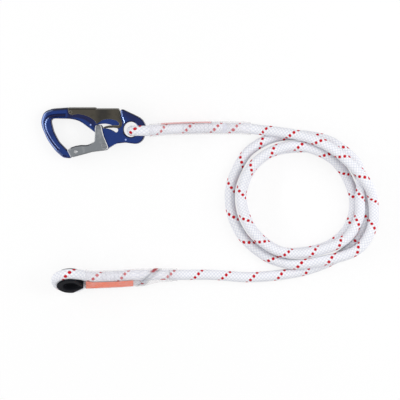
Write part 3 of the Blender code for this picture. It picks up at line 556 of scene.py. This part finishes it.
@dataclass(frozen=True)
class FilmFold:
    """Slanting fold in the film over the cut end of the rope, drawn as a painted shadow line with painted
    shade beside it.
    """

    across: tuple[float, float, float]
    offset_mm: float
    width_mm: float = 1.5
    soft_mm: float = 1.3
    # How solid and how grey the painted shadow line along the fold is
    shadow_line_solid: float = 0.22
    colour: str = "#84848c"
    shade_mm: float = 5.0
    shade_solid: float = 0.1
    # The tracer yarn shows through the upper end of the fold
    fleck: str = "#b3122c"
    fleck_from_y: float = -150.6
    fleck_extra: float = 0.5
    fleck_solid: float = 0.6

    def lay(
        self, tree: bpy.types.NodeTree, place: bpy.types.NodeSocket, film: tuple[float, float, float, float]
    ) -> tuple[bpy.types.NodeSocket, bpy.types.NodeSocket]:
        """Adds the fold's painted shadow line and painted shade to a film.

        Args:
            tree: The node tree.
            place: Coordinates in millimetres.
            film: The film's colour.

        Returns:
            The colour with the painted shadow, and how solid the painted shadow is.
        """
        across = add_node(tree, "VectorMath", {0: place, 1: self.across}, "Value", operation="DOT_PRODUCT")
        off = add_node(tree, "Math", {0: across, 1: self.offset_mm}, operation="SUBTRACT")
        away = add_node(tree, "Math", {0: off}, operation="ABSOLUTE")
        y = add_node(tree, "SeparateXYZ", {0: place}, 1)
        tip = add_node(tree, "Math", {0: y, 1: self.fleck_from_y}, operation="GREATER_THAN")
        widths = {0: tip, 1: self.fleck_extra, 2: self.width_mm}
        width = add_node(tree, "Math", widths, operation="MULTIPLY_ADD")
        inside = add_node(tree, "Math", {0: width, 1: self.soft_mm}, operation="SUBTRACT")
        # Painted shadow line along the fold, wider at its upper end
        line = add_node(tree, "MapRange", {0: away, 1: width, 2: inside})
        strengths = {0: tip, 1: self.fleck_solid - self.shadow_line_solid, 2: self.shadow_line_solid}
        strength = add_node(tree, "Math", strengths, operation="MULTIPLY_ADD")
        drawn = add_node(tree, "Math", {0: line, 1: strength}, operation="MULTIPLY")
        # Painted shade on one side of the fold, fading out over shade_mm
        shade = add_node(tree, "MapRange", {0: off, 1: -self.shade_mm, 2: 0.0, 4: self.shade_solid})
        before = add_node(tree, "Math", {0: off, 1: 0.0}, operation="LESS_THAN")
        shade = add_node(tree, "Math", {0: shade, 1: before}, operation="MULTIPLY")
        solid = add_node(tree, "Math", {0: drawn, 1: shade}, operation="MAXIMUM")
        marked = add_node(tree, "Math", {0: line, 1: 0.0}, operation="GREATER_THAN")
        red = add_node(tree, "Math", {0: tip, 1: marked}, operation="MULTIPLY")
        shadow_and_tracer_tones = {0: red, 6: linear(self.colour), 7: linear(self.fleck)}
        shadow_and_tracer = add_node(tree, "Mix", shadow_and_tracer_tones, 2, data_type="RGBA")
        shown = add_node(tree, "Math", {0: solid, 1: 0.0}, operation="GREATER_THAN")
        return add_node(tree, "Mix", {0: shown, 6: film, 7: shadow_and_tracer}, 2, data_type="RGBA"), solid


@dataclass(frozen=True)
class FilmFinish:
    """Clear heat-shrink film with fine cross ribs, milky where it has creased."""

    name: str
    colour: str = "#f5f2f6"
    # Polyolefin film shrinks into ribs some 2 mm apart, which catch the light in fine lines
    rib_mm: float = 2.3
    rib_bump: float = 0.08
    rib_depth_mm: float = 0.1
    roughness: float = 0.25
    clear: float = 0.08
    milky: float = 0.16
    cloud_per_mm: float = 0.09
    cloud_from: float = 0.35
    cloud_to: float = 0.7
    fold: FilmFold | None = None

    def material(self) -> bpy.types.Material:
        """Makes the film.

        Returns:
            The material.
        """
        material, tree, shader = new_material(self.name)
        place = in_millimetres(tree)
        cloud = add_node(tree, "TexNoise", {"Vector": place, "Scale": self.cloud_per_mm, "Detail": 3.0})
        veil = {0: cloud, 1: self.cloud_from, 2: self.cloud_to, 3: self.clear, 4: self.milky}
        alpha = add_node(tree, "MapRange", veil)
        shader.inputs["Base Color"].default_value = linear(self.colour)
        if self.fold:
            colour, solid = self.fold.lay(tree, place, linear(self.colour))
            tree.links.new(colour, shader.inputs["Base Color"])
            alpha = add_node(tree, "Math", {0: alpha, 1: solid}, operation="MAXIMUM")
        tree.links.new(alpha, shader.inputs["Alpha"])
        run = add_node(tree, "SeparateXYZ", {0: place})
        angle = add_node(tree, "Math", {0: run, 1: 2 * math.pi / self.rib_mm}, operation="MULTIPLY")
        wave = add_node(tree, "Math", {0: angle}, operation="SINE")
        ribs = {"Height": wave, "Strength": self.rib_bump, "Distance": self.rib_depth_mm * MM}
        tree.links.new(add_node(tree, "Bump", ribs), shader.inputs["Normal"])
        shader.inputs["Roughness"].default_value = self.roughness
        return material


@dataclass(frozen=True)
class PlainFinish:
    """Paper, thread or moulded plastic with a fine uneven surface."""

    name: str
    colour: str
    shade: str
    roughness: float = 0.6
    # Fibres and mould texture are finer than this, and are drawn as coarse as they need to show
    grain_mm: float = 1.2
    depth_mm: float = 0.2
    bump: float = 0.2
    specular: float = 0.5

    def material(self) -> bpy.types.Material:
        """Makes the surface.

        Returns:
            The material.
        """
        material, tree, shader = new_material(self.name)
        place = in_millimetres(tree)
        grain = add_node(tree, "TexNoise", {"Vector": place, "Scale": 1 / self.grain_mm, "Detail": 5.0})
        tones = {0: grain, 6: linear(self.colour), 7: linear(self.shade)}
        tree.links.new(add_node(tree, "Mix", tones, 2, data_type="RGBA"), shader.inputs["Base Color"])
        relief = {"Height": grain, "Strength": self.bump, "Distance": self.depth_mm * MM}
        tree.links.new(add_node(tree, "Bump", relief), shader.inputs["Normal"])
        shader.inputs["Roughness"].default_value = self.roughness
        shader.inputs["Specular IOR Level"].default_value = self.specular
        return material


def add_piece(name: str, mesh: bpy.types.Mesh, material: bpy.types.Material) -> bpy.types.Object:
    """Adds a mesh to the scene as a piece of the object.

    Args:
        name: The piece's name.
        mesh: Its mesh.
        material: Its only material.

    Returns:
        The new object.
    """
    piece = bpy.data.objects.new(name, mesh)
    bpy.context.scene.collection.objects.link(piece)
    mesh.materials.clear()
    mesh.materials.append(material)
    LOG.info("%s: made, in %s", name, material.name)
    return piece


def dress(node: str, material: bpy.types.Material) -> bpy.types.Object:
    """Gives a node of the model its finish.

    Args:
        node: The node's name.
        material: Its finish.

    Returns:
        The node's object.
    """
    piece = FRAME["nodes"][node]
    piece.data.materials.clear()
    piece.data.materials.append(material)
    LOG.info("%s: dressed in %s", node, material.name)
    return piece


def copied_piece(
    node: str, name: str, material: bpy.types.Material, sharp_deg: float = 60
) -> bpy.types.Object:
    """Makes a piece from a node's own mesh, smoothed, that stands for the node.

    Args:
        node: The node's name.
        name: The piece's name.
        material: Its finish.
        sharp_deg: Angle from which an edge stays sharp.

    Returns:
        The new piece, which rides on nothing yet.
    """
    bm = bmesh.new()
    bm.from_mesh(FRAME["nodes"][node].data)
    bmesh.ops.remove_doubles(bm, verts=bm.verts, dist=WELD_M)
    bmesh.ops.recalc_face_normals(bm, faces=bm.faces)
    mesh = bpy.data.meshes.new(name)
    bm.to_mesh(mesh)
    bm.free()
    mesh.shade_smooth()
    mesh.set_sharp_from_angle(angle=math.radians(sharp_deg))
    piece = add_piece(name, mesh, material)
    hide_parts(node)
    return piece


def smooth_span(four: list[Vector], share: float) -> Vector:
    """Point on the smooth curve through four points, between the second and the third.

    Args:
        four: The points.
        share: Share of the way, from 0 to 1.

    Returns:
        The point.
    """
    knots = [0.0]
    for p, q in zip(four, four[1:]):
        knots.append(knots[-1] + max(math.sqrt((q - p).length), 1e-6))
    t = knots[1] + (knots[2] - knots[1]) * share
    level = list(four)
    for width in (1, 2, 3):
        merged = []
        for k in range(4 - width):
            start, end = (knots[k], knots[k + width]) if width < 3 else (knots[1], knots[2])
            merged.append(level[k].lerp(level[k + 1], (t - start) / (end - start)))
        level = merged
    return level[0]


def smooth_path(points: list[tuple[float, float, float]], step: float) -> list[Vector]:
    """Evenly spaced points on a smooth curve through the given ones.

    Args:
        points: Points that the curve passes.
        step: Distance between the points read from it.

    Returns:
        The path.
    """
    p = [Vector(q) for q in points]
    p = [2 * p[0] - p[1], *p, 2 * p[-1] - p[-2]]
    dense = []
    for four in zip(p, p[1:], p[2:], p[3:]):
        dense += [smooth_span(list(four), k / SPAN_DIVISIONS) for k in range(SPAN_DIVISIONS)]
    dense.append(p[-2])
    lengths = [0.0]
    for a, b in zip(dense, dense[1:]):
        lengths.append(lengths[-1] + (b - a).length)
    count = round(lengths[-1] / step)
    path, k = [], 0
    for i in range(count + 1):
        at = lengths[-1] * i / count
        while k < len(dense) - 2 and lengths[k + 1] < at:
            k += 1
        share = (at - lengths[k]) / max(lengths[k + 1] - lengths[k], 1e-9)
        path.append(dense[k].lerp(dense[k + 1], min(share, 1.0)))
    return path


def centre_line(mesh: bpy.types.Mesh, end: Vector, sides: int = 12) -> list[Vector]:
    """Centre line of a plain tube, found ring by ring from one of its ends.

    Args:
        mesh: The tube.
        end: A point at the end where the walk starts.
        sides: Points round the tube.

    Returns:
        The centre of each ring.
    """
    bm = bmesh.new()
    bm.from_mesh(mesh)
    bmesh.ops.remove_doubles(bm, verts=bm.verts, dist=WELD_M)
    ring = sorted(bm.verts, key=lambda v: (v.co - end).length)[:sides]
    seen, centres = set(ring), []
    while ring:
        centres.append(sum((v.co for v in ring), Vector()) / len(ring))
        # Kept in the order found, so that every run adds the points up in the same order
        found = dict.fromkeys(e.other_vert(v) for v in ring for e in v.link_edges)
        ring = [v for v in found if v not in seen]
        seen.update(ring)
    bm.free()
    return centres


def shift_at(run: float, shifts: tuple[tuple[float, float], ...]) -> float:
    """How far the braid is moved along the rope at one place.

    Args:
        run: Millimetres along the rope.
        shifts: Pairs of place and shift in millimetres, in order.

    Returns:
        The shift, read between the pairs.
    """
    for (start, low), (end, high) in zip(shifts, shifts[1:]):
        if run < end:
            return low + (high - low) * max(run - start, 0.0) / (end - start)
    return shifts[-1][1]


def rope_mesh(
    name: str, path: list[Vector], shifts: tuple[tuple[float, float], ...],
    sides: int = 20, sharp_deg: float = 50,
) -> bpy.types.Mesh:
    """Rope along a path in metres, with millimetres along it and turns round it as its own coordinates.

    Args:
        name: The mesh's name.
        path: Centre line.
        shifts: How far the braid is moved along the rope, as pairs of place and shift.
        sides: Points round the rope.
        sharp_deg: Angle from which an edge stays sharp.

    Returns:
        The mesh.
    """
    bm = bmesh.new()
    layer = bm.loops.layers.uv.new("along")
    radius = ROPE_D / 2 * MM
    angles = [2 * math.pi * i / sides for i in range(sides)]
    tangents = [(b - a).normalized() for a, b in zip(path, path[1:])]
    tangents.append(tangents[-1])
    across = tangents[0].orthogonal().normalized()
    rows, run, runs = [], 0.0, []
    for k, centre in enumerate(path):
        if k:
            run += (centre - path[k - 1]).length
            across = tangents[k - 1].rotation_difference(tangents[k]) @ across
        ahead = (tangents[max(k - 1, 0)] + tangents[k]).normalized()
        side = (across - across.dot(ahead) * ahead).normalized()
        up = ahead.cross(side)
        rows.append([bm.verts.new(centre + radius * (math.cos(a) * side + math.sin(a) * up)) for a in angles])
        runs.append(run / MM - shift_at(run / MM, shifts))
    for k, (low, high) in enumerate(zip(rows, rows[1:])):
        for i in range(sides):
            j = (i + 1) % sides
            face = bm.faces.new((low[i], low[j], high[j], high[i]))
            corners = ((runs[k], i), (runs[k], i + 1), (runs[k + 1], i + 1), (runs[k + 1], i))
            for loop, (along, turn) in zip(face.loops, corners):
                loop[layer].uv = (along, turn / sides)
    bm.faces.new(rows[0][::-1])
    bm.faces.new(rows[-1])
    bmesh.ops.recalc_face_normals(bm, faces=bm.faces)
    mesh = bpy.data.meshes.new(name)
    bm.to_mesh(mesh)
    bm.free()
    mesh.shade_smooth()
    mesh.set_sharp_from_angle(angle=math.radians(sharp_deg))
    return mesh


@dataclass
class FreeRope:
    """The rope between its two sewn eyes."""

    step_mm: float = 4.0
    length_m: float = 1.674
    exit_m: tuple[float, float, float] = (0.1696, 0.0042, 0.0074)
    # White polyamide with a red tracer: soft and bright with no gloss, and red flecks wind round it in rows
    finish: BraidFinish = BraidFinish("braided_sheath")
    # Coiling twists a rope, so its flecks lie farther along in some places
    braid_shifts: tuple[tuple[float, float], ...] = (
        (0, -7), (16, 0), (250, 0), (430, 15), (600, 15), (880, 11), (1000, 11), (1450, -3.8),
    )

    def build(self) -> tuple[bpy.types.Object, list[Vector]]:
        """Makes the rope.

        Returns:
            The rope and its centre line in metres.
        """
        path = smooth_path(ROPE_ROUTE, self.step_mm)
        for point in path:
            point.z = max(point.z, LIE_Z)
        path = [point * MM for point in path]
        mesh = rope_mesh("rope_braided", path, self.braid_shifts)
        rope = add_piece("rope_braided", mesh, self.finish.material())
        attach(rope, "lanyard")
        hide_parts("rope")
        return rope, path


@dataclass
class SewnEye:
    """Rope eye under its label and shrink film."""

    end: RopeEnd
    loop: str
    # The free rope's nearest end, where the walk along the loop starts
    joint: tuple[float, float, float]
    label: PlainFinish
    braid_shifts: tuple[tuple[float, float], ...]
    step_mm: float = 2.5

    def dress(
        self, sheath: bpy.types.Material, film: bpy.types.Material, thread: bpy.types.Material
    ) -> list[bpy.types.Object]:
        """Finishes the eye's pieces.

        Args:
            sheath: Finish of the rope.
            film: Finish of the sleeve.
            thread: Finish of the stitching.

        Returns:
            The eye's objects.
        """
        name = self.end.value
        return [
            self._braided_loop(sheath),
            dress(f"{name}_label", self.label.material()),
            dress(f"{name}_stitching", thread),
            self._film(film),
        ]

    def _braided_loop(self, sheath: bpy.types.Material) -> bpy.types.Object:
        """Rebuilds the loop on the centre line of the model's tube, so that the braid follows it.

        Args:
            sheath: Finish of the rope.

        Returns:
            The loop.
        """
        path = centre_line(FRAME["nodes"][self.loop].data, Vector(self.joint) * MM)
        path = smooth_path([tuple(p / MM) for p in path], self.step_mm)
        path = [p * MM for p in path]
        name = f"{self.loop}_braided"
        piece = add_piece(name, rope_mesh(name, path, self.braid_shifts), sheath)
        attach(piece, "lanyard")
        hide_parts(self.loop)
        return piece

    def _film(self, film: bpy.types.Material) -> bpy.types.Object:
        """Copies the model's sleeve with a smooth surface.

        Args:
            film: Finish of the sleeve.

        Returns:
            The film.
        """
        node = f"{self.end.value}_sleeve"
        piece = copied_piece(node, f"{node}_film", film)
        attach(piece, "lanyard")
        return piece


@dataclass
class SnapHook:
    """The hook's metal pieces and its two springs."""

    # Dyed anodised aluminium: the metal shines through a clear layer, in a deep blue, with painted highlights
    # and painted shade on its roundings
    blue: AnodisedFinish = AnodisedFinish(
        name="anodised_aluminium", colour="#0c327b", worn="#042060", roughness=0.28, grain_mm=0.35, bump=0.12,
        wear=0.7, coat=0.5,
        # Painted highlight on the roundings facing left, painted shade on the steep ones and on those facing
        # up and right
        edges=(
            PaintedEdgeLight((-0.95, 0.3, 0), 0.18, 0.32, "#a6c2ff", 0.6),
            PaintedEdgeLight((0, 0, 1), 0.7, 0.54, "#102a86", both_ways=True),
            PaintedEdgeLight((0, 1, 0), 0.35, 0.65, "#040a2c"),
            PaintedEdgeLight((1, 0, 0), 0.35, 0.7, "#060e48"),
        ),
    )
    # Blued sheet steel: a dull brown black, with pale cut edges drawn as painted highlights that differ by
    # the side they face
    lever: LeverFinish = LeverFinish(
        name="blued_sheet_steel", colour="#4f4b43", worn="#33312d", roughness=0.42, metallic=0.85,
        grain_mm=0.6, bump=0.2, wear=0.9,
        # A painted dark line below the top fold, a painted highlight on the fold, and painted highlights on
        # the other roundings
        edges=(
            PaintedEdgeLight((0, 1, 0), 0.02, 0.08, "#1a1816"),
            PaintedEdgeLight((0, 1, 0), 0.12, 0.3, "#7d7b76", 0.3),
            PaintedEdgeLight((0, -1, 0), 0.3, 0.6, "#8f897b", 0.3),
            PaintedEdgeLight((-1, 0, 0), 0.3, 0.6, "#8f897b", 0.3),
            PaintedEdgeLight((1, 0, 0), 0.3, 0.6, "#6f6a5f", 0.3),
        ),
    )
    # Zinc plated sheet steel: a soft light grey, with bright sheared edges drawn as painted highlights on its
    # sides
    gate: MetalFinish = MetalFinish(
        name="plated_sheet_steel", colour="#868a8e", worn="#b0b2b5", roughness=0.36, wear=0.8,
        # Painted highlights on the left and right roundings, painted shade on the upper ones
        edges=(
            PaintedEdgeLight((0, 1, 0), 0.2, 0.5, "#5c5e62", 0.6),
            PaintedEdgeLight((0, -1, 0), 0.4, 0.8, "#8d8f92", 0.6),
            PaintedEdgeLight((-1, 0, 0), 0.25, 0.5, "#e6e6e6", 0.2),
            PaintedEdgeLight((1, 0, 0), 0.25, 0.5, "#fafafa", 0.1),
        ),
    )
    # Headed rivet steel, dull from the press
    rivet: MetalFinish = MetalFinish(
        name="rivet_steel", colour="#85878b", worn="#9a9c9f", roughness=0.5, grain_mm=0.4, wear=0.3
    )
    # Drawn and turned steel: small bright glints
    bright: MetalFinish = MetalFinish(
        name="bright_steel", colour="#c2c3c5", worn="#d8d8da", roughness=0.28, metallic=0.95, grain_mm=0.4,
        bump=0.1, wear=0.3,
    )
    # Heights on the gate's spring above which it would keep to the hook and below which it would turn with
    # the gate
    gate_pivot: tuple[float, float, float] = (11.754, -14.2, 13.468)
    coil_fixed: float = 4.2
    coil_turning: float = -3.0
    lever_spring_keep: float = 0.5

    def dress(self) -> None:
        """Finishes each metal node."""
        dress("hook_body", self.blue.material())
        dark = self.lever.material()
        for node in ("lock_lever", "lever_pivot_rivet"):
            dress(node, dark)
        dress("gate_channel", self.gate.material())
        rivet = self.rivet.material()
        for node in ("gate_tail_pin", "gate_pivot_rivet"):
            dress(node, rivet)
        bright = self.bright.material()
        for node in ("gate_nose_rivet", "gate_spacer_top", "gate_spacer_under"):
            dress(node, bright)
        self._springs(bright)

    def _springs(self, wire: bpy.types.Material) -> None:
        """Copies the two springs: the gate's stays where it is, and the lever's rides on the hook.

        Args:
            wire: Their finish.
        """
        winding = copied_piece("gate_spring", "gate_spring_wire", wire)
        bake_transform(winding)
        lifting = copied_piece("lever_spring", "lever_spring_wire", wire)
        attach(lifting, "hook")
        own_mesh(lifting)


@dataclass(frozen=True)
class Lamp:
    """Rectangle of light, placed in metres from the middle of the picture and turned towards it."""

    name: str
    place: tuple[float, float, float]
    size: tuple[float, float]
    power: float

    def build(self, aim: tuple[float, float]) -> None:
        """Adds the lamp.

        Args:
            aim: Middle of the picture, on the table.
        """
        data = bpy.data.lights.new(self.name, "AREA")
        data.shape = "RECTANGLE"
        data.size, data.size_y = self.size
        data.energy = self.power
        lamp = bpy.data.objects.new(self.name, data)
        lamp.location = Vector(self.place) + Vector((*aim, 0))
        lamp.rotation_euler = Vector(self.place).to_track_quat("Z", "Y").to_euler()
        bpy.context.scene.collection.objects.link(lamp)


@dataclass
class Studio:
    """White table, soft light and the camera above it."""

    view_width_m: float = 0.432
    aim_m: tuple[float, float] = (0.1149, -0.0728)
    height_m: float = 8.0
    sensor_mm: float = 36.0
    far_m: float = 20.0
    table_half_m: float = 4.0
    # Matt white paint. The camera sees part of it as plain white, and the object's shadow stays
    table_colour: str = "#f4f4f4"
    table_roughness: float = 0.9
    table_glow: float = 0.82
    sky_colour: str = "#ffffff"
    sky_low: float = 0.3
    sky_high: float = 0.85
    lamps: tuple[Lamp, ...] = (
        Lamp("key", (-1.0, 0.1, 0.62), (1.5, 0.1), 5.5),
        Lamp("fill", (0.95, 0.1, 0.8), (0.7, 0.7), 6.5),
    )

    def build(self) -> None:
        """Makes the table, the lamps, the world and the camera."""
        self._table()
        for lamp in self.lamps:
            lamp.build(self.aim_m)
        self._world()
        self._camera()

    def _table(self) -> None:
        """Makes the table top."""
        bm = bmesh.new()
        bmesh.ops.create_grid(bm, x_segments=1, y_segments=1, size=self.table_half_m)
        mesh = bpy.data.meshes.new("table")
        bm.to_mesh(mesh)
        bm.free()
        material, tree, shader = new_material("white_table")
        shader.inputs["Base Color"].default_value = linear(self.table_colour)
        shader.inputs["Roughness"].default_value = self.table_roughness
        glow = add_node(tree, "Emission")
        seen = add_node(tree, "LightPath", output="Is Camera Ray")
        share = add_node(tree, "Math", {0: seen, 1: self.table_glow}, operation="MULTIPLY")
        surface = add_node(tree, "MixShader", {0: share, 1: shader.outputs[0], 2: glow})
        tree.links.new(surface, tree.nodes["Material Output"].inputs[0])
        add_piece("table", mesh, material)

    def _world(self) -> None:
        """Makes an even white sky, brighter above than at its rim."""
        world = bpy.data.worlds.new("soft_light")
        world.use_nodes = True
        tree = world.node_tree
        background = tree.nodes["Background"]
        background.inputs[0].default_value = linear(self.sky_colour)
        direction = add_node(tree, "TexCoord", output="Generated")
        height = add_node(tree, "SeparateXYZ", {0: direction}, 2)
        light = add_node(tree, "MapRange", {0: height, 3: self.sky_low, 4: self.sky_high})
        tree.links.new(light, background.inputs[1])
        bpy.context.scene.world = world

    def _camera(self) -> None:
        """Hangs the camera high above the table, looking straight down."""
        data = bpy.data.cameras.new("camera")
        data.sensor_width = self.sensor_mm
        data.lens = self.sensor_mm * self.height_m / self.view_width_m
        data.clip_end = self.far_m
        camera = bpy.data.objects.new("camera", data)
        camera.location = (*self.aim_m, self.height_m)
        bpy.context.scene.collection.objects.link(camera)
        bpy.context.scene.camera = camera


def main() -> None:
    """Dresses the lanyard."""
    logging.basicConfig(level=logging.INFO, format="%(message)s")
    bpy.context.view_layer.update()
    Studio().build()
    rope_part = FreeRope()
    rope, path = rope_part.build()
    sheath = rope.data.materials[0]
    film = FilmFinish("shrink_film").material()
    fold = FilmFold(across=(-0.687, 0.7276, 0), offset_mm=-153.11)
    folded = FilmFinish("folded_shrink_film", fold=fold).material()
    # Bonded polyamide thread: a shade greyer than the rope, and smoother where the bond coats it
    thread = PlainFinish("white_thread", "#e6e6ea", "#c9cad2", roughness=0.7, grain_mm=0.4, bump=0.3)
    white = thread.material()
    # Tinted label paper: even and matt, with a faint mottle
    pink = PlainFinish("hook_end_paper", "#f2aeac", "#eaa2a0", roughness=0.55, grain_mm=3.0, bump=0.1)
    salmon = PlainFinish("thimble_end_paper", "#ff7537", "#ff6d30", roughness=0.55, grain_mm=3.0, bump=0.1)
    hook_eye = SewnEye(
        RopeEnd.HOOK, "hook_eye_loop", ROPE_ROUTE[0], pink,
        braid_shifts=((0, 15.7), (12, 15.7), (22, 10.5)),
    )
    thimble_eye = SewnEye(
        RopeEnd.THIMBLE, "thimble_eye_loop", ROPE_ROUTE[-1], salmon,
        braid_shifts=((0, -20.5), (5, -20.5), (42, 0), (76, 0), (94, 4.5)),
    )
    others = hook_eye.dress(sheath, film, white) + thimble_eye.dress(sheath, folded, white)
    # Moulded polyamide: near black, with a dull satin from the mould
    plastic = PlainFinish("black_polyamide", "#121318", "#191a20", grain_mm=0.8, bump=0.15, specular=0.08)
    others.append(dress("thimble", plastic.material()))
    SnapHook().dress()
    bpy.context.scene.view_settings.view_transform = "Standard"


if __name__ == "__main__":
    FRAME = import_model()
    main()
